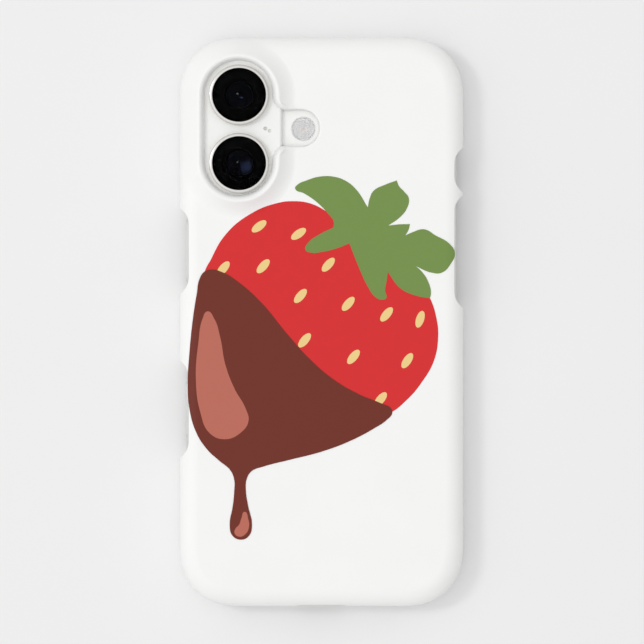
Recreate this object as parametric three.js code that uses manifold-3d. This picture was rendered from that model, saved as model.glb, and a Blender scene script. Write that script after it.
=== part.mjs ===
// A smartphone in a hard snap case, lying on its screen with the back of the case up.
//
// Millimetres. +Z points out of the back of the case, +Y to the camera end, and +X to the side
// with the volume keys. The origin is on the resting plane, under the middle of the case.

import * as THREE from 'three';
import { mergeVertices } from 'three/addons/utils/BufferGeometryUtils.js';
import { ParametricGeometry } from 'three/addons/geometries/ParametricGeometry.js';
import Module from 'manifold-3d';

const wasm = await Module();
wasm.setup();

// ---------------------------------------------------------------- driving dimensions

const GAP = 0.3; // room that every piece keeps to its neighbours
const THROUGH = 1; // how far a cutter runs past the face it opens

// facets in a half circle, and across a rounded edge
const ARC_STEPS = 14;
const SMALL_ARC_STEPS = 5;
const EDGE_STEPS = 2;

// the handset
const PHONE_LENGTH = 147.6;
const PHONE_WIDTH = 71.6;
const PHONE_THICKNESS = 7.8;
const PHONE_EDGE = 1.2; // radius along the edges of the metal frame
const GLASS_THICKNESS = 0.6;
const GLASS_MARGIN = 1.3; // from the frame's outline to the edge of either glass

// the case
const WALL = 1.65;
const PLATE = 1.6;
const FRONT_LIP = 1.0; // height of the front lip over the screen
const LIP_REACH = 1.0; // how far the lip reaches over the edge of the screen
const LIP_EDGE = 1.2;
const BACK_EDGE_ACROSS = 5.0; // the long soft edge of the back, seen from behind
const BACK_EDGE_DOWN = 4.0; // and the same edge down the side
const BACK_EDGE_STEPS = 5;
const CORNER = 16.2; // length of the case's outline that one corner takes up
const CORNER_POWER = 2.3; // exponent of the corner's curve, where 2 is a circle
const CORNER_STEPS = 9;

// the camera
const CAMERA_X = -22.0;
const CAMERA_Y = 51.45;
const LENS_X = -21.9;
const LENS_Y = 51.24; // halfway between the two lenses
const LENS_SPACING = 18.15;
const OPENING_RADIUS = 10.2;
const OPENING_STRAIGHT = 17.5;
const RIM_RISE = 2.2; // crest of the case's rim over the back plate
const RIM_CHAMFER = 0.35;
const RIM_CREST = 0.7; // outer edge of the crest, from the edge of the opening
const RIM_SPREAD = 5.0; // foot of the rim, from the edge of the opening
const RIM_SUNK = 0.15; // depth of that foot in the plate
const RIM_HOLLOW = 1.6; // exponent of the slope between them, where 1 is a straight one
const RIM_STEPS = 5;
const PLATEAU_X = -21.7;
const PLATEAU_RADIUS = 11.2;
const PLATEAU_RISE = 1.7; // over the back glass
const PLATEAU_EDGE = 0.5;
const BARREL_RADIUS = 8.05;
const BARREL_RISE = 1.9; // over the plateau
const BARREL_RIM = 0.7;
const COVER_DEPTH = 0.25; // of the lens cover under the top of its barrel
const COVER_THICKNESS = 0.85;
const LENS_STEPS = 30;

// the flash and its side pocket off the camera opening
const TAB_Y = 51.7;
const TAB_END = -0.4;
const TAB_RADIUS = 4.76;
const TAB_FILLET = 1.8;
const FLASH = [-4.85, 51.4];
const FLASH_RADIUS = 3.1;
const EMITTER_SIDE = 1.9;
const EMITTER_DEPTH = 0.7;

// microphone holes in the plateau: x, y, radius
const MICROPHONE_HOLES = [[-14.9, 51.4, 0.38], [-13.9, 50.8, 0.28]];
const MICROPHONE_DEPTH = 0.8;

// the sides: keys in the frame, and the bays that lay them open in the case's wall
const KEY_HEIGHT = 2.8;
const KEY_THICKNESS = 1.2;
const KEY_PROUD = 0.3;
const KEY_POCKET = 1.3;
const KEYS = [
  { name: 'action_key', side: 1, y: 40.4, length: 7.0 },
  { name: 'volume_up_key', side: 1, y: 25.6, length: 10.5 },
  { name: 'volume_down_key', side: 1, y: 12.2, length: 10.5 },
  { name: 'side_key', side: -1, y: 18.9, length: 17.0 },
  { name: 'camera_key', side: -1, y: -23.3, length: 15.5 },
];
const BAYS = [
  { side: 1, low: 34.4, high: 46.5 },
  { side: 1, low: 3.7, high: 33.8 },
  { side: -1, low: 7.4, high: 30.4 },
  { side: -1, low: -36.3, high: -10.3 },
];
const BAY_DEPTH = 1.75;
const BAY_RAMP = 3.8;
const BAY_LIP_DEPTH = 3.6; // the front lip is cut back further than the wall

// the bottom end
const PORT_WIDTH = 9.0;
const PORT_HEIGHT = 3.3;
const PORT_DEPTH = 6.2;
const TONGUE_WIDTH = 6.7;
const TONGUE_HEIGHT = 0.8;
const TONGUE_SHORT = 0.9; // of the tongue's tip, under the frame's face
const PORT_WINDOW_WIDTH = 14.4;
const PORT_WINDOW_HEIGHT = 6.8;
const PORT_WINDOW_CORNER = 2.6;
const SOUND_HOLES = 5;
const SOUND_HOLE_RADIUS = 0.75;
const SOUND_HOLE_PITCH = 2.3;
const SOUND_HOLE_DEPTH = 2.0;
const SOUND_X = 15.6; // middle of each row
const SOUND_WINDOW_WIDTH = 13.0;
const SOUND_WINDOW_HEIGHT = 3.2;

// ---------------------------------------------------------------- levels and outlines from them

const CASE_WIDTH = PHONE_WIDTH + 2 * (GAP + WALL);
const CASE_LENGTH = PHONE_LENGTH + 2 * (GAP + WALL);
const SCREEN_Z = FRONT_LIP;
const PHONE_BACK_Z = SCREEN_Z + PHONE_THICKNESS;
const PHONE_MIDDLE_Z = SCREEN_Z + PHONE_THICKNESS / 2;
const PLATE_UNDER_Z = PHONE_BACK_Z + GAP;
const CASE_BACK_Z = PLATE_UNDER_Z + PLATE;
const CREST_Z = CASE_BACK_Z + RIM_RISE;
const PLATEAU_Z = PHONE_BACK_Z + PLATEAU_RISE;
const BARREL_Z = PLATEAU_Z + BARREL_RISE;
const GLASS_SEAT = GLASS_THICKNESS + GAP;
const LENS_CENTRES = [
  ['upper', LENS_X, LENS_Y + LENS_SPACING / 2],
  ['lower', LENS_X, LENS_Y - LENS_SPACING / 2],
];

// ---------------------------------------------------------------- materials

function material(color, roughness, metalness = 0) {
  return new THREE.MeshStandardMaterial({ color, roughness, metalness });
}

const FINISHES = {
  polycarbonate: () => material(0xf4f4f3, 0.42),
  aluminium: () => material(0xdcdcda, 0.35, 0.9),
  backGlass: () => material(0xe9eae6, 0.3),
  screenGlass: () => material(0x0a0a0c, 0.05),
  steel: () => material(0xc9c6c0, 0.2, 1.0),
  lensGlass: () => material(0x08080a, 0.03),
  flashLens: () => material(0xc3c9cf, 0.1),
  emitter: () => material(0xe0a552, 0.5),
};

// ---------------------------------------------------------------- solids

function solid(geometry) {
  geometry.deleteAttribute('normal');
  geometry.deleteAttribute('uv');
  const merged = mergeVertices(geometry, 1e-4);
  return new wasm.Manifold(new wasm.Mesh({
    numProp: 3,
    vertProperties: new Float32Array(merged.attributes.position.array),
    triVerts: new Uint32Array(merged.index.array),
  }));
}

function cutAway(start, cutters) {
  return cutters.reduce((left, cutter) => left.subtract(solid(cutter)), start);
}

function surface(shapeSolid) {
  const { vertProperties, triVerts } = shapeSolid.getMesh();
  const geometry = new THREE.BufferGeometry();
  geometry.setAttribute('position', new THREE.BufferAttribute(vertProperties, 3));
  geometry.setIndex(new THREE.BufferAttribute(triVerts, 1));
  return geometry;
}

function piece(name, geometry, finish) {
  const mesh = new THREE.Mesh(geometry, FINISHES[finish]());
  mesh.name = name;
  return mesh;
}

// A plate between two levels, its edges rounded over by a quarter ellipse.
function plate(shape, low, high, edge = {}) {
  const { across = 0, down = across, steps = EDGE_STEPS, arcSteps = ARC_STEPS } = edge;
  const geometry = new THREE.ExtrudeGeometry(shape, {
    depth: high - low - 2 * down,
    bevelEnabled: across > 0,
    bevelSize: across,
    bevelOffset: -across,
    bevelThickness: down,
    bevelSegments: steps,
    curveSegments: arcSteps,
  });
  return geometry.translate(0, 0, low + down);
}

// A plate with small curves, which need fewer facets.
function smallPlate(shape, low, high, across = 0) {
  return plate(shape, low, high, { across, arcSteps: SMALL_ARC_STEPS });
}

// Turns a plate so that its shape's x runs along Y and its thickness along X.
function onSide(geometry) {
  return geometry.rotateX(Math.PI / 2).rotateZ(Math.PI / 2);
}

// Turns a plate so that its thickness runs along -Y, out of the bottom end.
function onBottom(geometry) {
  return geometry.rotateX(Math.PI / 2);
}

// ---------------------------------------------------------------- outlines

// The outline shared by handset and case, grown from the handset's by a margin.
function handsetOutline(margin) {
  const corner = CORNER - WALL - GAP + margin;
  const halfWidth = PHONE_WIDTH / 2 + margin;
  const halfLength = PHONE_LENGTH / 2 + margin;
  const points = [];
  for (let quarter = 0; quarter < 4; quarter += 1) {
    for (let step = 0; step <= CORNER_STEPS; step += 1) {
      const angle = (quarter + step / CORNER_STEPS) * Math.PI / 2;
      const middle = (quarter + 0.5) * Math.PI / 2;
      const x = cornerReach(Math.cos(angle), Math.cos(middle), halfWidth, corner);
      const y = cornerReach(Math.sin(angle), Math.sin(middle), halfLength, corner);
      points.push(new THREE.Vector2(x, y));
    }
  }
  return new THREE.Shape(points);
}

function cornerReach(part, side, half, corner) {
  return Math.sign(side) * (half - corner + corner * Math.abs(part) ** (2 / CORNER_POWER));
}

// A stadium: two half circles and the straight sides between them.
function stadium(x, y, radius, straight, upright = true) {
  const along = upright ? [0, straight / 2] : [straight / 2, 0];
  const turn = upright ? 0 : -Math.PI / 2;
  const shape = new THREE.Shape();
  shape.absarc(x + along[0], y + along[1], radius, turn, turn + Math.PI);
  shape.absarc(x - along[0], y - along[1], radius, turn + Math.PI, turn + 2 * Math.PI);
  return shape;
}

function disc(x, y, radius) {
  return stadium(x, y, radius, 0);
}

function rectangle(x, y, width, height, corner = 0) {
  const shape = new THREE.Shape();
  const right = x + width / 2;
  const top = y + height / 2;
  if (corner === 0) {
    return shape.moveTo(right, top).lineTo(x - width / 2, top)
      .lineTo(x - width / 2, y - height / 2).lineTo(right, y - height / 2);
  }
  [[1, 1], [-1, 1], [-1, -1], [1, -1]].forEach(([sideX, sideY], quarter) => {
    const centreX = x + sideX * (width / 2 - corner);
    const centreY = y + sideY * (height / 2 - corner);
    shape.absarc(centreX, centreY, corner, quarter * Math.PI / 2, (quarter + 1) * Math.PI / 2);
  });
  return shape;
}

// The pocket for the flash: a rounded tab that runs out of the camera opening with fillets.
function tabOutline() {
  const root = CAMERA_X + OPENING_RADIUS;
  const top = TAB_Y + TAB_RADIUS;
  const bottom = TAB_Y - TAB_RADIUS;
  const shape = new THREE.Shape();
  shape.moveTo(root - THROUGH, bottom - TAB_FILLET);
  shape.lineTo(root, bottom - TAB_FILLET);
  shape.absarc(root + TAB_FILLET, bottom - TAB_FILLET, TAB_FILLET, Math.PI, Math.PI / 2, true);
  shape.absarc(TAB_END - TAB_RADIUS, TAB_Y, TAB_RADIUS, -Math.PI / 2, Math.PI / 2);
  shape.absarc(root + TAB_FILLET, top + TAB_FILLET, TAB_FILLET, -Math.PI / 2, -Math.PI, true);
  shape.lineTo(root - THROUGH, top + TAB_FILLET);
  return shape;
}

// A bay in a side wall, seen from behind: it drops steeply in and runs out level.
function bayOutline({ side, low, high }, depth) {
  const edge = side * CASE_WIDTH / 2;
  const floor = edge - side * depth;
  const outside = edge + side * THROUGH;
  const shape = new THREE.Shape();
  shape.moveTo(outside, low);
  shape.lineTo(edge, low);
  shape.quadraticCurveTo(floor, low + BAY_RAMP * 0.4, floor, low + BAY_RAMP);
  shape.lineTo(floor, high - BAY_RAMP);
  shape.quadraticCurveTo(floor, high - BAY_RAMP * 0.4, edge, high);
  shape.lineTo(outside, high);
  return shape;
}

// ---------------------------------------------------------------- the case

// Height of the case's back at a point, which falls away along its rounded edge.
function caseBackLevel(x, y, outline) {
  const here = new THREE.Vector3(x, y, 0);
  const nearest = new THREE.Vector3();
  let inset = Infinity;
  outline.forEach((point, index) => {
    const next = outline[(index + 1) % outline.length];
    const start = new THREE.Vector3(point.x, point.y, 0);
    const end = new THREE.Vector3(next.x, next.y, 0);
    new THREE.Line3(start, end).closestPointToPoint(here, true, nearest);
    inset = Math.min(inset, nearest.distanceTo(here));
  });
  const across = Math.max(0, 1 - inset / BACK_EDGE_ACROSS);
  return CASE_BACK_Z - BACK_EDGE_DOWN * (1 - Math.sqrt(1 - across * across));
}

// The rim round the camera opening, as a closed ring: its section runs up the inner side, over
// the chamfer and the flat crest, and down a hollow slope that ends in the back plate.
function rim() {
  const outline = handsetOutline(GAP + WALL).getPoints();
  const columns = 2 * (ARC_STEPS + 1);
  const section = [
    { out: -THROUGH, level: () => PLATE_UNDER_Z },
    { out: -THROUGH, level: () => CREST_Z - RIM_CHAMFER - THROUGH },
    { out: RIM_CHAMFER, level: () => CREST_Z },
  ];
  for (let step = 0; step <= RIM_STEPS; step += 1) {
    const share = step / RIM_STEPS;
    const out = RIM_CREST + (RIM_SPREAD - RIM_CREST) * share;
    section.push({ out, level: (base) => base + RIM_RISE * (1 - share) ** RIM_HOLLOW - RIM_SUNK * share });
  }
  section.push({ out: RIM_SPREAD, level: (base) => base - PLATE });
  const ring = (u, v, target) => {
    const column = (columns - Math.round(u * columns)) % columns;
    const upper = column <= ARC_STEPS;
    const step = upper ? column : column - ARC_STEPS - 1;
    const angle = (upper ? 0 : Math.PI) + step * Math.PI / ARC_STEPS;
    const centreY = CAMERA_Y + (upper ? OPENING_STRAIGHT : -OPENING_STRAIGHT) / 2;
    const { out, level } = section[Math.round(v * section.length) % section.length];
    const x = CAMERA_X + (OPENING_RADIUS + out) * Math.cos(angle);
    const y = centreY + (OPENING_RADIUS + out) * Math.sin(angle);
    target.set(x, y, level(caseBackLevel(x, y, outline)));
  };
  return new ParametricGeometry(ring, columns, section.length);
}

function caseShell() {
  const outside = handsetOutline(GAP + WALL);
  const backEdge = { across: BACK_EDGE_ACROSS, down: BACK_EDGE_DOWN, steps: BACK_EDGE_STEPS };
  const backRounded = plate(outside, -CASE_BACK_Z, CASE_BACK_Z, backEdge);
  const frontRounded = plate(outside, 0, 2 * CASE_BACK_Z, { across: LIP_EDGE });
  const form = solid(backRounded).intersect(solid(frontRounded)).add(solid(rim()));
  const lipTop = SCREEN_Z - GAP;
  const above = CREST_Z + THROUGH;
  const bays = BAYS.flatMap((bay) => [
    smallPlate(bayOutline(bay, BAY_DEPTH), -THROUGH, above),
    smallPlate(bayOutline(bay, BAY_LIP_DEPTH), -THROUGH, PHONE_MIDDLE_Z - KEY_HEIGHT),
  ]);
  return piece('case_shell', surface(cutAway(form, [
    plate(handsetOutline(GAP), lipTop, PLATE_UNDER_Z, { across: PHONE_EDGE + GAP }),
    plate(handsetOutline(-LIP_REACH), -THROUGH, SCREEN_Z + THROUGH),
    plate(stadium(PLATEAU_X, CAMERA_Y, PLATEAU_RADIUS + GAP, OPENING_STRAIGHT),
      PHONE_BACK_Z, PLATEAU_Z + GAP),
    plate(stadium(CAMERA_X, CAMERA_Y, OPENING_RADIUS, OPENING_STRAIGHT), PHONE_BACK_Z, above),
    smallPlate(tabOutline(), PHONE_BACK_Z, above),
    ...bays,
    ...endWindows(),
  ])), 'polycarbonate');
}

// The windows in the bottom wall, for the plug and for the two rows of sound holes.
function endWindows() {
  const inner = PHONE_LENGTH / 2 - PHONE_EDGE;
  const outer = CASE_LENGTH / 2 + THROUGH;
  const middle = PHONE_MIDDLE_Z;
  const straight = SOUND_WINDOW_WIDTH - SOUND_WINDOW_HEIGHT;
  const outlines = [
    rectangle(0, middle, PORT_WINDOW_WIDTH, PORT_WINDOW_HEIGHT, PORT_WINDOW_CORNER),
    stadium(SOUND_X, middle, SOUND_WINDOW_HEIGHT / 2, straight, false),
    stadium(-SOUND_X, middle, SOUND_WINDOW_HEIGHT / 2, straight, false),
  ];
  return outlines.map((outline) => onBottom(smallPlate(outline, inner, outer)));
}

// ---------------------------------------------------------------- the handset

function phoneFrame() {
  const whole = solid(plate(handsetOutline(0), SCREEN_Z, PHONE_BACK_Z, { across: PHONE_EDGE }));
  const seat = handsetOutline(GAP - GLASS_MARGIN);
  const well = rectangle(...FLASH, EMITTER_SIDE + 2 * GAP, EMITTER_SIDE + 2 * GAP);
  const backSeat = PHONE_BACK_Z - GLASS_SEAT;
  return piece('phone_frame', surface(cutAway(whole, [
    plate(seat, backSeat, PHONE_BACK_Z + THROUGH),
    plate(seat, SCREEN_Z - THROUGH, SCREEN_Z + GLASS_SEAT),
    plate(well, backSeat - EMITTER_DEPTH - GAP, PHONE_BACK_Z),
    ...KEYS.map((key) => keyPill(key, GAP, KEY_PROUD, KEY_POCKET + KEY_PROUD)),
    ...soundHoles(),
  ]).subtract(portSocket())), 'aluminium');
}

// The socket in the bottom end, a rounded slot round a thin tongue.
function portSocket() {
  const face = PHONE_LENGTH / 2;
  const straight = PORT_WIDTH - PORT_HEIGHT;
  const mouth = stadium(0, PHONE_MIDDLE_Z, PORT_HEIGHT / 2, straight, false);
  const tongue = rectangle(0, PHONE_MIDDLE_Z, TONGUE_WIDTH, TONGUE_HEIGHT);
  const slot = onBottom(smallPlate(mouth, face - PORT_DEPTH, face + THROUGH));
  const core = onBottom(plate(tongue, face - PORT_DEPTH - THROUGH, face - TONGUE_SHORT));
  return solid(slot).subtract(solid(core));
}

function soundHoles() {
  const face = PHONE_LENGTH / 2;
  const holes = [];
  for (const side of [-1, 1]) {
    for (let index = 0; index < SOUND_HOLES; index += 1) {
      const x = side * SOUND_X + (index - (SOUND_HOLES - 1) / 2) * SOUND_HOLE_PITCH;
      const drill = new THREE.CylinderGeometry(
        SOUND_HOLE_RADIUS, SOUND_HOLE_RADIUS, SOUND_HOLE_DEPTH + THROUGH, 2 * SMALL_ARC_STEPS);
      drill.translate(x, -face + (SOUND_HOLE_DEPTH - THROUGH) / 2, PHONE_MIDDLE_Z);
      holes.push(drill);
    }
  }
  return holes;
}

// A key's pill, grown all round by a margin, from its outer face inwards.
function keyPill({ side, y, length }, margin, proud, thickness, edge = 0) {
  const height = KEY_HEIGHT + 2 * margin;
  const outline = stadium(y, PHONE_MIDDLE_Z, height / 2, length - KEY_HEIGHT, false);
  const outer = side * (PHONE_WIDTH / 2 + proud);
  const inner = outer - side * thickness;
  return onSide(smallPlate(outline, Math.min(outer, inner), Math.max(outer, inner), edge));
}

function keyCap(key) {
  return piece(key.name, keyPill(key, 0, KEY_PROUD, KEY_THICKNESS, KEY_PROUD), 'aluminium');
}

function backGlass() {
  const outline = handsetOutline(-GLASS_MARGIN);
  const glass = solid(plate(outline, PHONE_BACK_Z - GLASS_THICKNESS, PHONE_BACK_Z));
  const low = PHONE_BACK_Z - GLASS_SEAT;
  const high = PHONE_BACK_Z + THROUGH;
  return piece('back_glass', surface(cutAway(glass, [
    plate(stadium(PLATEAU_X, CAMERA_Y, PLATEAU_RADIUS + GAP, OPENING_STRAIGHT), low, high),
    plate(disc(...FLASH, FLASH_RADIUS + GAP), low, high),
  ])), 'backGlass');
}

function screenGlass() {
  const outline = handsetOutline(-GLASS_MARGIN);
  return piece('screen_glass', plate(outline, SCREEN_Z, SCREEN_Z + GLASS_THICKNESS), 'screenGlass');
}

function cameraPlateau() {
  const low = PHONE_BACK_Z - GLASS_THICKNESS;
  const outline = stadium(PLATEAU_X, CAMERA_Y, PLATEAU_RADIUS, OPENING_STRAIGHT);
  const bores = LENS_CENTRES.map(([, x, y]) => disc(x, y, BARREL_RADIUS + GAP));
  const microphones = MICROPHONE_HOLES.map(([x, y, radius]) => (
    new THREE.CylinderGeometry(radius, radius, 2 * MICROPHONE_DEPTH, 2 * SMALL_ARC_STEPS)
      .rotateX(Math.PI / 2)
      .translate(x, y, PLATEAU_Z)));
  const block = solid(plate(outline, low, PLATEAU_Z, { across: PLATEAU_EDGE }));
  return piece('camera_plateau', surface(cutAway(block, [
    ...bores.map((bore) => plate(bore, low - THROUGH, PLATEAU_Z + THROUGH)),
    ...microphones,
  ])), 'backGlass');
}

// A turned piece on an upright axis, from a profile of [radius, level] points.
function turned(x, y, profile) {
  const points = profile.map(([radius, level]) => new THREE.Vector2(radius, level));
  return new THREE.LatheGeometry(points, LENS_STEPS).rotateX(Math.PI / 2).translate(x, y, 0);
}

// A metal cup with a rounded rim, which stands through the plateau and holds the lens cover.
function lensBarrel(position, x, y) {
  const floor = BARREL_Z - COVER_DEPTH - COVER_THICKNESS - GAP;
  const inner = BARREL_RADIUS - BARREL_RIM;
  return piece(`lens_barrel_${position}`, turned(x, y, [
    [0, PHONE_BACK_Z - GAP],
    [BARREL_RADIUS, PHONE_BACK_Z - GAP],
    [BARREL_RADIUS, BARREL_Z - 0.25],
    [BARREL_RADIUS - 0.08, BARREL_Z - 0.08],
    [BARREL_RADIUS - 0.25, BARREL_Z],
    [inner + 0.2, BARREL_Z],
    [inner, BARREL_Z - 0.2],
    [inner, floor],
    [0, floor],
  ]), 'steel');
}

function lensCover(position, x, y) {
  const radius = BARREL_RADIUS - BARREL_RIM - GAP;
  const top = BARREL_Z - COVER_DEPTH;
  return piece(`lens_cover_${position}`, turned(x, y, [
    [0, top - COVER_THICKNESS],
    [radius, top - COVER_THICKNESS],
    [radius, top - 0.1],
    [radius - 0.1, top],
    [0, top],
  ]), 'lensGlass');
}

function flashLens() {
  const low = PHONE_BACK_Z - GLASS_THICKNESS;
  return piece('flash_lens', plate(disc(...FLASH, FLASH_RADIUS), low, PHONE_BACK_Z), 'flashLens');
}

function flashEmitter() {
  const top = PHONE_BACK_Z - GLASS_SEAT;
  const outline = rectangle(...FLASH, EMITTER_SIDE, EMITTER_SIDE);
  return piece('flash_emitter', plate(outline, top - EMITTER_DEPTH, top), 'emitter');
}

// ---------------------------------------------------------------- the whole

const handsetInCase = new THREE.Group();
handsetInCase.add(
  caseShell(),
  phoneFrame(),
  backGlass(),
  screenGlass(),
  cameraPlateau(),
  ...LENS_CENTRES.map((lens) => lensBarrel(...lens)),
  ...LENS_CENTRES.map((lens) => lensCover(...lens)),
  flashLens(),
  flashEmitter(),
  ...KEYS.map(keyCap),
);

export default handsetInCase;
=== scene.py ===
"""A smartphone in a white snap case, lying screen down on a pale table top.

The case's back is printed in flat ink with a strawberry dipped in chocolate. The camera looks
straight down on it. All modelling is in millimetres, and a finished piece is turned to metres.
"""

import math

import bmesh
import bpy
from mathutils import Matrix, Vector
from mathutils.bvhtree import BVHTree
from mathutils.geometry import delaunay_2d_cdt


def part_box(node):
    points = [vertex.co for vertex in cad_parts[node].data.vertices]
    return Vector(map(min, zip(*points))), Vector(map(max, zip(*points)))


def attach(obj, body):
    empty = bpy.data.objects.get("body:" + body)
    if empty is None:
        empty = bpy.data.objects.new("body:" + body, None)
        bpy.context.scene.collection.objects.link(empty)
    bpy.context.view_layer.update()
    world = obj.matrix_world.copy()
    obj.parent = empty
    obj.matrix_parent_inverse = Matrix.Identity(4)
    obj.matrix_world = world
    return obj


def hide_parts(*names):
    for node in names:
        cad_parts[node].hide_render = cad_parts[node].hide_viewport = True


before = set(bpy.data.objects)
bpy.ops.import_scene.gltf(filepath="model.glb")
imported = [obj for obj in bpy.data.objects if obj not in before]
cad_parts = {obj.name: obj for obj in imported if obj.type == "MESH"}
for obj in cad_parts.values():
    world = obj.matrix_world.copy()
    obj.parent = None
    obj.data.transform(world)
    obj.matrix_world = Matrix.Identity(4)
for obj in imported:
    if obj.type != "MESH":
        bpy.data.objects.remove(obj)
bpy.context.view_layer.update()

# ---------------------------------------------------------------- sizes, in millimetres

MM = 0.001
TINY = 1e-4


def cad(node):
    """The lowest and highest corner of a CAD node."""
    low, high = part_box(node)
    return low / MM, high / MM


def round_cad(node):
    """The x and y of a round CAD node's middle, its radius, and its two levels."""
    low, high = cad(node)
    return (low.x + high.x) / 2, (low.y + high.y) / 2, (high.x - low.x) / 2, low.z, high.z


CASE_HIGH = cad("case_shell")[1]
PHONE_LOW, PHONE_HIGH = cad("phone_frame")
GLASS_LOW, GLASS_HIGH = cad("back_glass")
SCREEN_LOW, SCREEN_HIGH = cad("screen_glass")
PLATEAU_LOW, PLATEAU_HIGH = cad("camera_plateau")
FLASH_X, FLASH_Y, FLASH_RADIUS, FLASH_FOOT, FLASH_TOP = round_cad("flash_lens")
EMITTER_LOW, EMITTER_HIGH = cad("flash_emitter")
KEYS = ("action_key", "volume_up_key", "volume_down_key", "side_key", "camera_key")
LENSES = ("upper", "lower")
# painted reflections in the lenses: where each navy spot, painted into the lens's colour for the
# coating's reflection, sits and how far it reaches
LENS_PAINTED_REFLECTIONS = ((0.6, -0.6, 0.5), (1.85, -0.95, 2.1))  # x and y from the middle, and reach

# the case
CORNER = 16.2  # how much of a side one corner takes up
CORNER_PROFILE = 0.5476  # a touch squarer than a circle, which is 0.5
CORNER_SEGMENTS = 24
BACK_EDGE_ACROSS, BACK_EDGE_DOWN, BACK_EDGE_SEGMENTS = 5.0, 4.0, 12
LIP_EDGE = 1.2
LIP_REACH = 1.0
CLEARANCE = 0.15  # between the case and the handset
RIM_RISE = 2.2  # crest of the camera rim over the back plate
PLATE = 1.6
PLATE_TOP = CASE_HIGH.z - RIM_RISE
PLATE_UNDER = PLATE_TOP - PLATE
CRATER_FLOOR = 6.0  # under the lowest part of the rim's foot

# the camera
CAMERA = Vector((-22.0, 51.45))
OPENING_RADIUS, OPENING_STRAIGHT = 10.2, 17.5
RIM_SPREAD, RIM_CREST = 5.0, 0.85  # how far out from the opening its foot and its crest reach
RIM_ROUNDING, RIM_HOLLOW = 0.16, 1.6  # the drop over the crest, and the slope's exponent
RIM_FOOT = OPENING_RADIUS + RIM_SPREAD
RIM_ROWS, END_STEPS, SIDE_STEPS = 12, 72, 16  # rows on the slope, and steps along their parts
LEAST_GAP = 0.22  # between two places on the slope
LENS_LEAN, FLASH_LEAN = 1.15, 0.12  # how far the opening's wall leans in over its height
END_LEAN = 0.25  # how much less it leans at the end beyond the upper lens
PLATEAU_CENTRE = (PLATEAU_LOW + PLATEAU_HIGH) / 2
PLATEAU_RADIUS = (PLATEAU_HIGH.x - PLATEAU_LOW.x) / 2
PLATEAU_STRAIGHT = PLATEAU_HIGH.y - PLATEAU_LOW.y - 2 * PLATEAU_RADIUS
PLATEAU_EDGE, PLATEAU_FOOT = 0.8, 0.55
MICROPHONES = ((-14.9, 51.4, 0.52, 1.0), (-13.8, 50.8, 0.46, 0.7))  # x, y, radius, depth
LENS_RING_WIDTH, LENS_SEAT = 0.85, 0.45  # the seat is how far the ring is sunk in the plateau
LENS_STACK, LENS_EYE = 0.85, 3.5  # depth of the mask under the ring's top, and the lens's radius
# the opening's pocket for the flash
TAB_Y, TAB_END, TAB_RADIUS, TAB_FILLET = 51.55, -0.4, 5.05, 3.3
TAB_FOOT = TAB_RADIUS + 3.0
NEAR = 0.02  # slack for a test on what carving has left

# the handset's other softened edges, and the keys
FRAME_EDGE, GLASS_EDGE, SCREEN_EDGE = 1.2, 0.15, 0.2
KEY_EDGE, KEY_GAP, KEY_BED = 0.35, 0.12, 1.3  # the pocket's bed is that deep in the frame

# the sides and the bottom end
# each bay's side, and its two ends along Y
BAYS = ((1, 34.4, 46.5), (1, 3.7, 33.8), (-1, 7.4, 30.4), (-1, -36.3, -10.3))
BAY_DEPTH, BAY_RAMP = 2.4, 4.4  # so deep that a bay ends on the handset's frame
BAY_LIP_DEPTH, BAY_LIP_HEIGHT = 3.6, 2.1  # and deeper still through the front lip
MIDDLE_Z = (PHONE_LOW.z + PHONE_HIGH.z) / 2
PORT_WINDOW = (14.4, 6.8, 2.6)  # width, height, corner
SOUND_WINDOW = (13.0, 3.2)
MOUTH, MOUTH_STEPS = 0.4, 4  # rounding of the windows' outer edges
SOUND_X, SOUND_PITCH, SOUND_HOLES, SOUND_RADIUS, SOUND_DEPTH = 15.6, 2.3, 5, 0.75, 2.0
PORT_WIDTH, PORT_HEIGHT, PORT_DEPTH = 9.0, 3.3, 6.2
PORT_BACK = PHONE_HIGH.y - PORT_DEPTH
TONGUE_TIP = PHONE_HIGH.y - 0.9
TONGUE_REACH, TONGUE_HALF = 3.35, 0.4  # half of its width, and of its thickness
CONTACTS, CONTACT_PITCH, CONTACT_WIDTH, CONTACT_THICKNESS = 10, 0.6, 0.32, 0.04
CONTACT_START, CONTACT_END = 0.5, 3.6  # how far behind the tongue's tip
SCREWS, SCREW_RADIUS = (-5.9, 5.9), 0.7

# the screen side
SLIT_Y, SLIT_RADIUS, SLIT_STRAIGHT = PHONE_HIGH.y - 1.75, 0.3, 11.0
PILL_Y, PILL_RADIUS, PILL_STRAIGHT = PHONE_HIGH.y - 6.6, 2.75, 10.0
FRONT_WELLS = ((5.0, 1.5), (-5.0, 1.1))  # x and radius


# ---------------------------------------------------------------- modelling by hand


def clear():
    """Leaves nothing selected, in object mode."""
    if bpy.context.mode != "OBJECT":
        bpy.ops.object.mode_set(mode="OBJECT")
    bpy.ops.object.select_all(action="DESELECT")


def alone(piece):
    """Leaves one piece selected and active, in object mode."""
    clear()
    piece.select_set(True)
    bpy.context.view_layer.objects.active = piece
    return piece


def linked(name, data):
    """A new object that holds some data, put in the scene."""
    piece = bpy.data.objects.new(name, data)
    bpy.context.scene.collection.objects.link(piece)
    return piece


def drawn(name, points, lines, faces):
    """A piece made of given points, and the lines and faces between them."""
    mesh = bpy.data.meshes.new(name)
    mesh.from_pydata(points, lines, faces)
    return linked(name, mesh)


def settled(name):
    """Names the primitive just added, and puts its place in its mesh."""
    piece = bpy.context.active_object
    piece.name = name
    piece.data.name = name
    alone(piece)
    bpy.ops.object.transform_apply(location=True, rotation=True, scale=True)
    return piece


def block(name, low, high):
    clear()
    low, high = Vector(low), Vector(high)
    bpy.ops.mesh.primitive_cube_add(size=1, location=(low + high) / 2, scale=high - low)
    return settled(name)


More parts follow.
